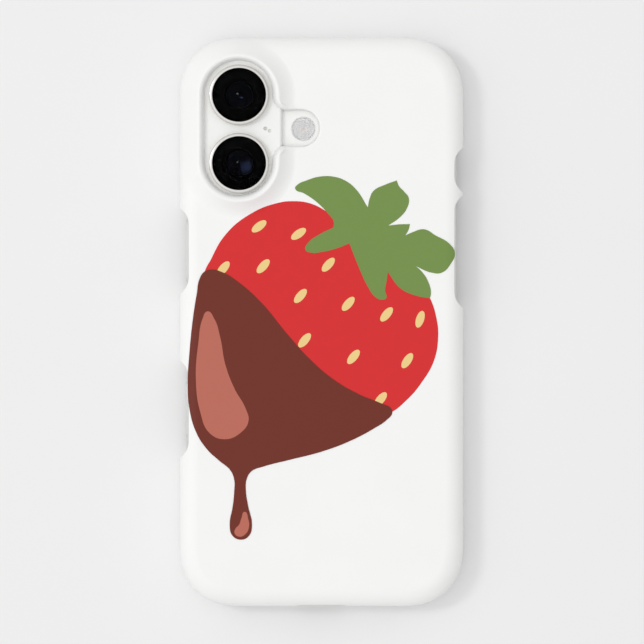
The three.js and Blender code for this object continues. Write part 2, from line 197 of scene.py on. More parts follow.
def drum(name, x, y, radius, low, high, sides=64):
    """An upright cylinder, turned half a facet so that no corner lies on its centre lines."""
    clear()
    bpy.ops.mesh.primitive_cylinder_add(
        vertices=sides, radius=radius, depth=high - low,
        location=(x, y, (low + high) / 2), rotation=(0, 0, math.pi / sides))
    return settled(name)


def choose(piece, kind, test):
    """Goes into edit mode with the vertices, edges or faces that pass a test selected."""
    alone(piece)
    bpy.ops.object.mode_set(mode="EDIT")
    bpy.ops.mesh.select_mode(type=kind)
    bpy.ops.mesh.select_all(action="DESELECT")
    mesh = bmesh.from_edit_mesh(piece.data)
    elements = {"VERT": mesh.verts, "EDGE": mesh.edges, "FACE": mesh.faces}[kind]
    for element in elements:
        element.select_set(bool(test(element)))
    mesh.select_flush_mode()
    bmesh.update_edit_mesh(piece.data)


def middle(edge):
    return (edge.verts[0].co + edge.verts[1].co) / 2


def at_level(level):
    """A test for what lies at one level: an edge or a face, whole."""
    return lambda part: all(abs(vertex.co.z - level) < TINY for vertex in part.verts)


def upright(edge):
    along = edge.verts[1].co - edge.verts[0].co
    return abs(along.z) > 0.999 * along.length


def stadium(name, centre, radius, straight, low, high, sides=96, lying=False):
    """A drum drawn out into a stadium, along Y or, lying, along X."""
    axis = 0 if lying else 1
    piece = drum(name, centre[0], centre[1], radius, low, high, sides)
    for side in (-1, 1):
        choose(piece, "VERT", lambda v: side * (v.co[axis] - centre[axis]) > TINY)
        shift = [0, 0, 0]
        shift[axis] = side * straight / 2
        bpy.ops.transform.translate(value=shift)
    return alone(piece)


def prism(name, outline, low, high):
    """A block with straight sides over an outline in plan, drawn up from its face."""
    piece = drawn(name, [(x, y, low) for x, y in outline], [], [list(range(len(outline)))])
    choose(piece, "FACE", lambda face: True)
    bpy.ops.mesh.extrude_region_move(TRANSFORM_OT_translate={"value": (0, 0, high - low)})
    bpy.ops.mesh.select_all(action="SELECT")
    bpy.ops.mesh.normals_make_consistent(inside=False)
    return alone(piece)


def turned(name, x, y, profile, steps=96, closed=False):
    """A piece spun on an upright axis from a profile of (radius, level) points."""
    points = [(x + radius, y, level) for radius, level in profile]
    lines = [(i, i + 1) for i in range(len(points) - 1)]
    if closed:
        lines.append((len(points) - 1, 0))
    piece = drawn(name, points, lines, [])
    choose(piece, "EDGE", lambda edge: True)
    bpy.ops.mesh.spin(steps=steps, angle=2 * math.pi, center=(x, y, 0), axis=(0, 0, 1))
    bpy.ops.mesh.select_all(action="SELECT")
    bpy.ops.mesh.remove_doubles(threshold=TINY)
    bpy.ops.mesh.normals_make_consistent(inside=False)
    return alone(piece)


def reshape(piece, matrix):
    """Moves or turns a piece's mesh, which leaves its object at the origin."""
    piece.data.transform(matrix)
    return piece


def on_side(piece):
    """Turns a piece made flat so that its x runs along Y and its height out along X."""
    return reshape(piece, Matrix.Rotation(math.pi / 2, 4, "Z") @ Matrix.Rotation(math.pi / 2, 4, "X"))


def on_end(piece):
    """Turns a piece made flat so that its y becomes height, and its height runs along -Y."""
    return reshape(piece, Matrix.Rotation(math.pi / 2, 4, "X"))


def copied(piece, name, shift=(0, 0, 0)):
    twin = piece.copy()
    twin.data = piece.data.copy()
    twin.name = name
    twin.data.name = name
    bpy.context.scene.collection.objects.link(twin)
    return reshape(twin, Matrix.Translation(shift))


def joined(name, pieces):
    clear()
    for piece in pieces:
        piece.select_set(True)
    bpy.context.view_layer.objects.active = pieces[0]
    bpy.ops.object.join()
    pieces[0].name = name
    pieces[0].data.name = name
    return pieces[0]


def shaped(piece, kind, **settings):
    """Puts a modifier on a piece and applies it."""
    alone(piece)
    modifier = piece.modifiers.new(kind.lower(), kind)
    for setting, value in settings.items():
        setattr(modifier, setting, value)
    bpy.ops.object.modifier_apply(modifier=modifier.name)
    return piece


def carve(piece, *tools, how="DIFFERENCE"):
    """Cuts tools out of a piece, or joins or intersects it with them, and uses them up."""
    for tool in tools:
        shaped(piece, "BOOLEAN", operation=how, solver="EXACT", object=tool)
        bpy.data.objects.remove(tool)
    return piece


def rounded_edges(piece, test, width, segments=4, profile=0.5):
    choose(piece, "EDGE", test)
    bpy.ops.mesh.bevel(
        offset_type="OFFSET", offset=width, segments=segments, profile=profile,
        affect="EDGES", clamp_overlap=False)
    return alone(piece)


def handset_block(name, low, high, margin, top=0, top_down=None, bottom=0, segments=4):
    """A block over the handset's outline grown by a margin, its corners and edges rounded.

    The top edge may be wider across than down: it is rounded in a circle, then pressed flat.
    """
    down = top if top_down is None else top_down
    extra = top - down
    reach = Vector((PHONE_HIGH.x + margin, PHONE_HIGH.y + margin))
    piece = block(name, (-reach.x, -reach.y, low), (reach.x, reach.y, high + extra))
    corner = CORNER - (CASE_HIGH.x - PHONE_HIGH.x) + margin
    rounded_edges(piece, upright, corner, CORNER_SEGMENTS, CORNER_PROFILE)
    if top:
        rounded_edges(piece, at_level(high + extra), top, segments)
    if bottom:
        rounded_edges(piece, at_level(low), bottom, 4)
    if extra:
        bend = high + extra - top
        choose(piece, "VERT", lambda vertex: vertex.co.z > bend + TINY)
        bpy.ops.transform.resize(value=(1, 1, down / top), center_override=(0, 0, bend))
    return alone(piece)


# ---------------------------------------------------------------- outlines in plan


def arc(x, y, radius, start, end, steps=12):
    """Points along an arc, between two angles in degrees."""
    angles = [math.radians(start + (end - start) * i / steps) for i in range(steps + 1)]
    return [(x + radius * math.cos(a), y + radius * math.sin(a)) for a in angles]


def swerve(start, pull, end, steps=10):
    """Points along a quadratic curve that leaves start towards pull and arrives from it."""
    points = []
    for i in range(1, steps + 1):
        t = i / steps
        points.append(tuple(
            (1 - t) ** 2 * a + 2 * t * (1 - t) * b + t * t * c
            for a, b, c in zip(start, pull, end)))
    return points


def bay_outline(side, low, high, depth):
    """A bay in a side wall: it drops steeply in and runs out level."""
    edge = side * CASE_HIGH.x
    floor = edge - side * depth
    outside = edge + side
    return [
        (outside, low), (edge, low),
        *swerve((edge, low), (floor, low + 0.4 * BAY_RAMP), (floor, low + BAY_RAMP)),
        *swerve((floor, high - BAY_RAMP), (floor, high - 0.4 * BAY_RAMP), (edge, high)),
        (outside, high),
    ]


def opening_outline():
    """The camera opening: a stadium with a pocket for the flash run out of it in fillets.

    Each point comes with the direction that leads away from the opening.
    """
    root = CAMERA.x + OPENING_RADIUS
    turn = root + TAB_FILLET
    end = TAB_END - TAB_RADIUS
    reach = TAB_RADIUS + TAB_FILLET
    half = OPENING_STRAIGHT / 2
    corners = [  # middle, radius, first and last angle, steps
        (turn, TAB_Y - reach, -TAB_FILLET, 180, 90, 10),
        (end, TAB_Y, TAB_RADIUS, -90, 90, 36),
        (turn, TAB_Y + reach, -TAB_FILLET, -90, -180, 10),
        (CAMERA.x, CAMERA.y + half, OPENING_RADIUS, 0, 180, 48),
        (CAMERA.x, CAMERA.y - half, OPENING_RADIUS, 180, 360, 48),
    ]
    points = []
    for x, y, radius, first, last, steps in corners:
        for i in range(steps + 1):
            angle = math.radians(first + (last - first) * i / steps)
            ray = Vector((math.cos(angle), math.sin(angle)))
            points.append((Vector((x, y)) + abs(radius) * ray, ray if radius > 0 else -ray))
    return filled_in(points)


def filled_in(points, longest=1.2):
    """The same outline with its long straight stretches divided."""
    result = []
    for (start, away), (end, _) in zip(points, points[1:] + points[:1]):
        result.append((start, away))
        pieces = math.ceil((end - start).length / longest)
        if (end - start).length > longest:
            side = Vector((end.y - start.y, start.x - end.x)).normalized()
            result += [(start.lerp(end, i / pieces), side) for i in range(1, pieces)]
    return result


def rectangle_outline(width, height, corner):
    points = []
    for quarter, (side_x, side_y) in enumerate(((1, 1), (-1, 1), (-1, -1), (1, -1))):
        centre = side_x * (width / 2 - corner), side_y * (height / 2 - corner)
        points += arc(*centre, corner, 90 * quarter, 90 * (quarter + 1))
    return points


# ---------------------------------------------------------------- colour and nodes


def linear(hex_colour):
    """An sRGB colour such as "d8c0a0" as linear red, green, blue and alpha."""
    channels = [int(hex_colour[i:i + 2], 16) / 255 for i in (0, 2, 4)]
    return [c / 12.92 if c <= 0.04045 else ((c + 0.055) / 1.055) ** 2.4 for c in channels] + [1]


def add(tree, kind, values=None, links=None, **settings):
    """Adds a node: its settings, the values of its sockets, and links into them."""
    made = tree.nodes.new(kind)
    for setting, value in settings.items():
        setattr(made, setting, value)
    for socket, value in (values or {}).items():
        made.inputs[socket].default_value = value
    for socket, source in (links or {}).items():
        tree.links.new(source, made.inputs[socket])
    return made


def new_material(name, **surface):
    """A material with its Principled shader, and the coordinates that patterns read."""
    material = bpy.data.materials.new(name)
    material.use_nodes = True
    tree = material.node_tree
    shader = tree.nodes["Principled BSDF"]
    for socket, value in surface.items():
        shader.inputs[socket.replace("_", " ")].default_value = value
    place = add(tree, "ShaderNodeTexCoord").outputs["Object"]
    return material, tree, shader, place


def speckle(tree, place, size, detail=2.0):
    """Noise whose grains are about a size in millimetres."""
    return add(tree, "ShaderNodeTexNoise", {"Scale": 1 / (size * MM), "Detail": detail},
               {"Vector": place})


def shade_between(tree, shader, factor, low, high):
    """Colours a surface between two hex colours by a pattern."""
    mix = add(tree, "ShaderNodeMix", {"A": linear(low), "B": linear(high)}, data_type="RGBA")
    tree.links.new(factor, mix.inputs["Factor"])
    tree.links.new(mix.outputs["Result"], shader.inputs["Base Color"])


def rough_between(tree, shader, factor, low, high):
    """Makes a surface rougher or smoother by a pattern."""
    spread = add(tree, "ShaderNodeMapRange", {"To Min": low, "To Max": high}, {"Value": factor})
    tree.links.new(spread.outputs["Result"], shader.inputs["Roughness"])


def raised(tree, shader, height, depth, strength=1.0):
    """Relief of a depth in millimetres."""
    bump = add(tree, "ShaderNodeBump", {"Distance": depth * MM, "Strength": strength},
               {"Height": height})
    tree.links.new(bump.outputs["Normal"], shader.inputs["Normal"])


# ---------------------------------------------------------------- materials


def mottled(name, size, low, high, rough=None, grain=None, relief=None, detail=2.0, **surface):
    """A material whose colour drifts between two by noise, with grains of a size.

    A finer grain, or else the same noise, moves the roughness between two values and raises a
    relief, which is given as its depth and its strength.
    """
    material, tree, shader, place = new_material(name, **surface)
    cloud = speckle(tree, place, size, detail).outputs["Fac"]
    fine = speckle(tree, place, grain).outputs["Fac"] if grain else cloud
    shade_between(tree, shader, cloud, low, high)
    if rough:
        rough_between(tree, shader, fine, *rough)
    if relief:
        raised(tree, shader, fine, *relief)
    return material


def polycarbonate():
    """White polycarbonate, moulded against a finely spark-eroded tool: an even satin.

    The real texture is about 0.03 mm, too fine to show, so it is drawn at 0.25 mm.
    """
    return mottled("polycarbonate", 14, "f3f3f2", "f7f7f6", (0.5, 0.6), 0.25, (0.006, 0.5), IOR=1.58)


def cured_ink(name, thin, full):
    """Ink printed flat and set by ultraviolet light: opaque, satin, and a little pebbled.

    The pebbling is about 0.1 mm and is drawn at 0.35 mm. Colour varies with ink thickness.
    """
    return mottled(name.replace("_", " "), 3.0, thin, full, (0.42, 0.55), 0.35, (0.006, 0.5),
                   detail=4, IOR=1.3)


def anodised_aluminium():
    """Aluminium, blasted with fine glass beads and anodised clear: a soft pale metal."""
    return mottled("anodised aluminium", 9, "d6d6d4", "dededc", (0.3, 0.42), 0.18, (0.008, 0.5),
                   Metallic=1.0)


def matt_glass(name="matt glass"):
    """White glass, coloured through and etched to a fine matt: pale, warm and soft to light."""
    return mottled(name, 8, "f2f2f0", "f5f5f3", (0.26, 0.36), 0.2, (0.003, 0.4), IOR=1.5)


def polished_steel():
    """Stainless steel, turned and polished: a bright ring with faint turning marks."""
    return mottled("polished steel", 0.4, "cdcbc7", "d6d4d0", (0.2, 0.28), Metallic=1.0)


def cover_glass():
    """Sapphire, lapped and coated against reflection: clear, and nearly black over black.

    The coating leaves well under a percent of reflection, which the low IOR stands for.
    """
    return mottled("cover glass", 3.0, "fafaff", "ffffff", IOR=1.05, Roughness=0.02,
                   Transmission_Weight=1.0)


def lens_black():
    """Black paint on the baffles and mask inside a lens: it swallows nearly all light."""
    return mottled("lens black", 0.3, "050506", "09090a", (0.3, 0.45), IOR=1.45,
                   Specular_IOR_Level=0.0)


def coated_element_with_painted_reflection(centre, reach):
    """A lens under a blue-violet coating: black glass with a painted reflection, a dim navy spot painted
    into its colour at one place.
    """
    material, tree, shader, place = new_material("coated element with painted reflection", IOR=1.06, Roughness=0.04)
    moved = add(tree, "ShaderNodeMapping", {"Location": Vector((*centre, 0)) * MM,
                                            "Scale": (reach * MM, reach * MM, 1)},
                {"Vector": place}, vector_type="TEXTURE")
    # a navy spot of painted reflection, fading out from its middle
    painted_reflection = add(tree, "ShaderNodeTexGradient", links={"Vector": moved.outputs["Vector"]},
               gradient_type="SPHERICAL")
    shade_between(tree, shader, painted_reflection.outputs["Fac"], "060608", "262d44")
    shader.inputs["Specular Tint"].default_value = linear("9fb0ff")
    return material


def bare_element():
    """The innermost lens, dense glass with a simple coating: a small bright glint in the dark."""
    return mottled("bare element", 0.5, "0a0b0f", "101218", IOR=1.6, Roughness=0.08)


def flash_plastic():
    """Acrylic moulded as a ringed lens, a little milky: it blurs what lies under it."""
    return mottled("flash plastic", 1.2, "fefefe", "ffffff", (0.3, 0.38), IOR=1.25,
                   Transmission_Weight=0.72)


def reflector():
    """White polyester moulded as a cup that throws the light forward: smooth and bright."""
    return mottled("reflector", 1.0, "fbfcfc", "ffffff", IOR=1.5, Roughness=0.35)


def phosphor():
    """The coating of a white light-emitting diode, pale amber while it is off: matt and grainy."""
    return mottled("phosphor", 0.12, "f1c0a6", "f5cbb5", (0.5, 0.7))


def display_glass():
    """Polished glass over a display that is off: deep black with a sharp shine."""
    return mottled("display glass", 12, "060607", "0a0a0c", (0.03, 0.09), IOR=1.52)


def socket_plastic():
    """Black glass-filled nylon, moulded: the tongue in the socket."""
    return mottled("socket plastic", 0.3, "141415", "1d1d1f", (0.4, 0.6), IOR=1.53)


def gold_plating():
    """Gold over nickel on the contacts: thin, smooth and warm."""
    return mottled("gold plating", 0.5, "c9a050", "e2bf73", (0.18, 0.32), Metallic=1.0)


def gauze_cloth():
    """Woven steel gauze, blackened: a fine square mesh with a dull glint, drawn at 0.2 mm."""
    material, tree, shader, place = new_material("gauze cloth", Metallic=0.6, Roughness=0.5)
    apart = add(tree, "ShaderNodeSeparateXYZ", links={0: place})
    weave = None
    for axis in ("X", "Z"):
        turns = add(tree, "ShaderNodeMath", {1: 2 * math.pi / (0.2 * MM)},
                    {0: apart.outputs[axis]}, operation="MULTIPLY")
        wave = add(tree, "ShaderNodeMath", links={0: turns.outputs[0]}, operation="SINE")
        if weave is None:
            weave = wave
        else:
            weave = add(tree, "ShaderNodeMath", links={0: weave.outputs[0], 1: wave.outputs[0]},
                        operation="MULTIPLY")
    shade_between(tree, shader, weave.outputs[0], "0d0d0e", "3a3a3c")
    raised(tree, shader, weave.outputs[0], 0.04)
    return material


def painted_board():
    """A matt painted table top, pale grey, with the faint mottling of a roller."""
    return mottled("painted board", 40, "eeeeee", "f0f0f0", IOR=1.45, Roughness=0.9,
                   Specular_IOR_Level=0.1)


# ---------------------------------------------------------------- finishing


def finish(piece, material, body="handset", replaces=(), angle=35):
    """Smooths a piece, gives it its material, and puts it on its body, in metres."""
    alone(piece)
    bpy.ops.object.shade_smooth_by_angle(angle=math.radians(angle))
    shaped(piece, "WEIGHTED_NORMAL", keep_sharp=True, weight=60)
    reshape(piece, Matrix.Scale(MM, 4))
    piece.data.materials.clear()
    piece.data.materials.append(material)
    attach(piece, body)
    if replaces:
        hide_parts(*replaces)
    return piece


# ---------------------------------------------------------------- the case


def off_lenses(place):
    """How far a place lies from the line that joins the middles of the opening's two ends."""
    half = OPENING_STRAIGHT / 2
    nearest = Vector((CAMERA.x, min(max(place.y, CAMERA.y - half), CAMERA.y + half)))
    return (place - nearest).length


def rise_at(place):
    """How far the rim stands over the back at a place: most at the lenses, then hollow."""
    out = max(off_lenses(place) - OPENING_RADIUS, 0)
    if out < RIM_CREST:
        return RIM_RISE - RIM_ROUNDING * (out / RIM_CREST) ** 2
    share = (out - RIM_CREST) / (RIM_SPREAD - RIM_CREST)
    return (RIM_RISE - RIM_ROUNDING) * max(1 - share, 0) ** RIM_HOLLOW


def raise_rim(form):
    """Opens the form's back round the cameras and draws it up again, hollow, to the rim."""
    skin = BVHTree.FromObject(form, bpy.context.evaluated_depsgraph_get())
    foot = stadium("foot", CAMERA, RIM_FOOT, OPENING_STRAIGHT, CRATER_FLOOR, CASE_HIGH.z + 1, 128)
    pad = drum("pad", TAB_END - TAB_RADIUS, TAB_Y, TAB_FOOT, CRATER_FLOOR, CASE_HIGH.z + 1, 72)
    carve(form, carve(foot, pad, how="UNION"))

    def height(place):
        return skin.ray_cast(Vector((*place, 100)), Vector((0, 0, -1)))[0].z + rise_at(place)

    mesh = bmesh.new()
    mesh.from_mesh(form.data)
    bmesh.ops.remove_doubles(mesh, verts=mesh.verts, dist=10 * TINY)
    bmesh.ops.delete(mesh, geom=[face for face in mesh.faces if in_crater(face)], context="FACES")
    outer = loop_of([edge for edge in mesh.edges if edge.is_boundary])
    opening = opening_outline()
    inner = [mesh.verts.new((*place, height(place)))
             for place in (point + RIM_CREST * away for point, away in opening)]
    inside = patch_points(outer, opening)
    fill_between(mesh, outer, inner, [mesh.verts.new((*place, height(place))) for place in inside])
    draw_down(mesh, inner, opening, height)
    bmesh.ops.recalc_face_normals(mesh, faces=mesh.faces)
    mesh.to_mesh(form.data)
    mesh.free()
    return form


def in_crater(face):
    """True for the walls and the floor that carving the foot of the rim has left."""
    centre = face.calc_center_median()
    from_flash = (centre.xy - Vector((TAB_END - TAB_RADIUS, TAB_Y))).length
    nearby = off_lenses(centre.xy) < RIM_FOOT + NEAR or from_flash < TAB_FOOT + NEAR
    steep_or_level = abs(face.normal.z) < 0.1 or face.normal.z > 0.99
    return nearby and steep_or_level and centre.z < PLATE_TOP - 0.05


def loop_of(edges):
    """The vertices of a closed run of edges, in order."""
    start = edges[0].verts[0]
    run, previous = [start], None
    while True:
        here = run[-1]
        ahead = [edge for edge in here.link_edges if edge.is_boundary and edge != previous][0]
        following = ahead.other_vert(here)
        if following == start:
            return run
        run.append(following)
        previous = ahead


def patch_points(outer, opening):
    """Places on the rim's slope, in rows round the lenses, clear of the patch's two borders."""
    taken = [vertex.co.xy for vertex in outer]
    taken += [point + RIM_CREST * away for point, away in opening]
    half = OPENING_STRAIGHT / 2
    places = []
    for row in range(1, RIM_ROWS):
        radius = OPENING_RADIUS + RIM_CREST + (RIM_SPREAD - RIM_CREST) * row / RIM_ROWS
        for y, first in ((CAMERA.y + half, 0), (CAMERA.y - half, 180)):
            for i in range(END_STEPS + 1):
                angle = math.radians(first + 180 * i / END_STEPS)
                places.append(Vector((CAMERA.x + radius * math.cos(angle), y + radius * math.sin(angle))))
        for side in (-1, 1):
            for i in range(1, SIDE_STEPS):
                along = CAMERA.y - half + OPENING_STRAIGHT * i / SIDE_STEPS
                places.append(Vector((CAMERA.x + side * radius, along)))
    return [place for place in places
            if not in_opening(place) and min((place - other).length for other in taken) > LEAST_GAP]


def in_opening(place):
    """True within the opening, grown by the crest's width."""
    root, end = CAMERA.x + OPENING_RADIUS, TAB_END - TAB_RADIUS
    along = Vector((min(max(place.x, root), end), TAB_Y))
    reach = TAB_RADIUS + TAB_FILLET
    fillet = Vector((root + TAB_FILLET, TAB_Y + math.copysign(reach, place.y - TAB_Y)))
    in_corner = root < place.x < fillet.x and abs(place.y - TAB_Y) < reach
    in_fillet = in_corner and (place - fillet).length > TAB_FILLET - RIM_CREST
    in_tab = (place - along).length < TAB_RADIUS + RIM_CREST
    return off_lenses(place) < OPENING_RADIUS + RIM_CREST or in_tab or in_fillet


def fill_between(mesh, outer, inner, inside):
    """Fills the ground between two closed runs of vertices with triangles, using those inside.

    Both runs are put in order so that the ground lies on their left, and the fill spreads from
    them over the triangles that share a side.
    """
    vertices = leftward(outer) + leftward(inner)[::-1] + inside
    fences = {(i, (i + 1) % len(outer)) for i in range(len(outer))}
    start, count = len(outer), len(inner)
    fences |= {(start + i, start + (i + 1) % count) for i in range(count)}
    flat = [vertex.co.xy for vertex in vertices]
    _, _, faces, sources, _, _ = delaunay_2d_cdt(flat, list(fences), [], 0, TINY, True)
    faces = [[sources[index][0] for index in face] for face in faces]
    sides = {side: face for face in faces for side in zip(face, face[1:] + face[:1])}
    wanted = {}
    spreading = [sides[fence] for fence in fences]
    while spreading:
        face = spreading.pop()
        if tuple(face) not in wanted:
            wanted[tuple(face)] = mesh.faces.new([vertices[index] for index in face])
            around = set(zip(face, face[1:] + face[:1])) - fences
            spreading += [sides[end, start] for start, end in around if (end, start) in sides]


def leftward(run):
    """A closed run of vertices, counter-clockwise in plan."""
    turn = sum(a.co.x * b.co.y - a.co.y * b.co.x for a, b in zip(run, run[1:] + run[:1]))
    return run if turn > 0 else run[::-1]


def draw_down(mesh, ring, opening, height):
    """Rounds the crest over from a ring of vertices, row by row, and closes the wall's foot.

    The wall leans in towards its foot, most beside the lenses, where the rim is high.
    """
    crests = [PLATE_TOP + rise_at(point) for point, _ in opening]
    slopes = [height(point + RIM_CREST * away) for point, away in opening]
    shares = [rise_at(point) / RIM_RISE for point, _ in opening]
    leans = [FLASH_LEAN + (LENS_LEAN - END_LEAN * max(away.y, 0) - FLASH_LEAN) * share
             for (_, away), share in zip(opening, shares)]
    # out from the opening, part of the slope's level, drop, part of the lean, drop by a high rim
    rows = [(0.7, 0.5, 0, 0, 0), (0.55, 0.2, 0, 0, 0), (0.4, 0, 0, 0, 0), (0.26, 0, 0.02, 0, 0.01),
            (0.1, 0, 0.08, 0.05, 0), (0, 0, 0.2, 0.2, 0.02), (0, 0, 0.36, 0.4, 0.08),
            (0, 0, 0.56, 0.62, 0.2), (0, 0, 0.78, 0.82, 0.46), (0, 0, 1.0, 1.0, 0.8)]
    for out, towards_slope, drop, part, further in rows:
        row = []
        for (point, away), crest, slope, share, lean in zip(opening, crests, slopes, shares, leans):
            level = crest + (slope - crest) * towards_slope - drop - further * share
            row.append(mesh.verts.new((*(point + (out - lean * part) * away), level)))
        ring = joined_rows(mesh, ring, row)
    foot = [mesh.verts.new((*(point - (lean + 0.02) * away), PLATE_UNDER - 0.2))
            for (point, away), lean in zip(opening, leans)]
    ring = joined_rows(mesh, ring, foot)
    mesh.faces.new(ring)


def joined_rows(mesh, first, second):
    count = len(first)
    for i in range(count):
        j = (i + 1) % count
        mesh.faces.new((first[i], first[j], second[j], second[i]))
    return second


def case_form(name):
    """The outside of the case as one closed form, with its rim raised."""
    return raise_rim(handset_block(
        name, 0, PLATE_TOP, CASE_HIGH.x - PHONE_HIGH.x, BACK_EDGE_ACROSS, BACK_EDGE_DOWN,
        LIP_EDGE, BACK_EDGE_SEGMENTS))


def end_windows():
    """The openings in the bottom wall, for the plug and for the sound holes."""
    windows = [window(0, *PORT_WINDOW)]
    width, height = SOUND_WINDOW
    for side in (-1, 1):
        windows.append(window(side * SOUND_X, width, height, height / 2))
    return windows


def window(x, width, height, corner):
    """A tool for an opening in the bottom wall whose mouth is rounded over, built row by row."""
    rows = [(PHONE_HIGH.y - 1.2, 0)]
    for i in range(MOUTH_STEPS + 1):
        turn = math.pi / 2 * i / MOUTH_STEPS
        rows.append((CASE_HIGH.y - MOUTH * (1 - math.sin(turn)), MOUTH * (1 - math.cos(turn))))
    rows.append((CASE_HIGH.y + 1, MOUTH))
    mesh = bmesh.new()
    ring = None
    for level, growth in rows:
        outline = rectangle_outline(width + 2 * growth, height + 2 * growth, corner + growth)
        row = [mesh.verts.new((x + across, MIDDLE_Z + up, level)) for across, up in outline]
        if ring:
            joined_rows(mesh, ring, row)
        else:
            mesh.faces.new(row[::-1])
        ring = row
    mesh.faces.new(ring)
    bmesh.ops.remove_doubles(mesh, verts=mesh.verts, dist=TINY)
    bmesh.ops.recalc_face_normals(mesh, faces=mesh.faces)
    data = bpy.data.meshes.new("window")
    mesh.to_mesh(data)
    mesh.free()
    return on_end(linked("window", data))


def case(form):
    """The snap case: the form hollowed for the handset and opened round what has to show."""
    over = CASE_HIGH.z + 1
    lip = PHONE_LOW.z - CLEARANCE
    edge = FRAME_EDGE + 0.1
    cavity = handset_block("cavity", lip, PLATE_UNDER, CLEARANCE, top=edge, bottom=edge)
    front = handset_block("front", -1, PHONE_LOW.z + 1, -LIP_REACH)
    pocket = stadium("pocket", PLATEAU_CENTRE, PLATEAU_RADIUS + CLEARANCE, PLATEAU_STRAIGHT,
                     PLATE_UNDER - 1, PLATEAU_HIGH.z + 0.03)
    bays = []
    for side, low, high in BAYS:
        bays.append(prism("bay", bay_outline(side, low, high, BAY_DEPTH), -1, over))
        bays.append(prism("bay", bay_outline(side, low, high, BAY_LIP_DEPTH), -1, BAY_LIP_HEIGHT))
    shell = copied(form, "snap_case")
    carve(shell, cavity, front, pocket, *bays, *end_windows())
    return finish(shell, polycarbonate(), replaces=["case_shell"])


# ---------------------------------------------------------------- the print on the case

FRUIT = [
    (-30.9, 12.0), (-29.2, 17.0), (-25.1, 23.7), (-18.9, 28.7), (-12.5, 31.4), (-7.5, 32.1),
    (-2.4, 31.3), (2.6, 28.5), (14.0, 21.0), (24.0, 13.5), (28.8, 6.4), (30.6, 0.8),
    (31.0, -4.2), (29.9, -10.3), (26.9, -15.7), (22.6, -20.8), (17.5, -24.4), (6.0, -24.0),
    (-6.0, -15.0), (-18.0, 0.0), (-27.0, 9.0),
]
COATING = [
    (-29.6, 13.9), (-26.3, 13.2), (-22.1, 10.6), (-15.7, 4.8), (-9.3, -3.0), (-2.9, -10.1),
    (3.5, -15.5), (9.9, -19.2), (16.0, -21.7), (18.4, -22.9), (18.8, -24.2), (17.4, -26.0),
    (14.0, -28.3), (7.5, -31.7), (0.0, -34.5), (-8.6, -36.7), (-15.6, -38.5), (-18.6, -39.7),
    (-19.9, -41.8), (-20.1, -45.0), (-19.5, -49.0), (-18.5, -54.0), (-19.3, -56.9),
    (-21.5, -57.9), (-23.7, -56.8), (-24.4, -54.0), (-23.6, -49.0), (-23.2, -45.0),
    (-23.2, -42.0), (-24.2, -39.5), (-27.2, -36.9), (-30.5, -33.8), (-33.3, -29.4),
    (-35.1, -23.3), (-35.6, -16.5), (-35.2, -9.0), (-34.2, 0.9), (-33.2, 7.3), (-32.4, 11.5),
    (-31.2, 13.3),
]
SHINE = [
    (-30.3, 2.8), (-28.6, 1.0), (-26.9, -4.2), (-25.6, -11.2), (-23.2, -17.6), (-20.1, -23.2),
    (-19.4, -26.3), (-21.3, -29.3), (-25.8, -31.2), (-29.8, -29.5), (-32.2, -24.1),
    (-33.4, -15.4), (-32.7, -5.2), (-31.6, 0.9),
]
DRIP_SHINE = [
    (-20.4, -50.5), (-19.5, -52.3), (-19.3, -54.6), (-20.2, -56.4), (-21.8, -57.1),
    (-23.1, -56.2), (-22.9, -55.0), (-21.9, -53.9), (-21.3, -52.2),
]
# the crown of leaves, where None marks the knot before it as a sharp one
LEAVES = [
    (-7.0, 35.5), (-6.2, 36.6), (-4.0, 37.6), (-0.6, 38.6), (3.2, 38.6), (6.4, 37.5),
    (9.2, 35.2), (12.3, 30.4), None, (12.8, 32.8), (13.8, 34.8), (17.0, 36.5), (20.0, 37.6), None,
    (20.6, 36.1), (21.9, 34.7), (23.2, 32.9), (22.6, 30.0), (20.7, 27.7), (17.7, 25.6), None,
    (20.4, 25.9), (23.5, 26.0), None, (23.1, 24.4), (22.2, 22.9), None, (24.1, 23.8),
    (27.3, 24.6), (30.3, 23.0), (34.1, 20.7), (35.5, 18.3), (34.4, 15.5), (32.0, 13.1),
    (29.2, 13.1), (25.1, 14.8), None, (26.8, 13.2), (28.4, 10.6), (29.1, 7.6), (28.8, 6.3), None,
    (25.4, 6.9), (21.0, 8.9), (17.6, 13.3), None, (17.3, 10.8), (16.9, 8.4), (17.2, 6.3),
    (16.1, 5.9), (14.3, 6.6), (12.3, 9.4), (9.8, 14.8), (7.4, 20.9), None, (4.5, 19.7),
    (0.2, 18.6), (-2.8, 18.4), (-4.3, 19.2), (-3.6, 21.0), (-0.5, 23.3), (3.2, 25.1), None,
    (3.2, 26.8), (1.8, 28.7), (-1.2, 31.8), (-4.5, 34.1),
]
SEED_LENGTH, SEED_WIDTH = 4.65, 2.15
# each seed's middle and the tilt of its long axis
SEEDS = [
    (-16.6, 25.4, 37), (-6.1, 23.4, 35), (-26.1, 14.2, 50), (-15.5, 14.8, 48), (1.8, 15.2, 48),
    (-5.6, 6.9, 49), (7.1, 4.8, 49), (17.3, 2.0, 50), (26.2, 0.7, 72), (-4.5, -4.9, 50),
    (8.5, -9.3, 50), (22.8, -10.3, 56), (15.7, -20.6, 50),
]
PRINT_LOW, PRINT_HIGH = 7.0, 14.0  # a span of levels that holds the whole back


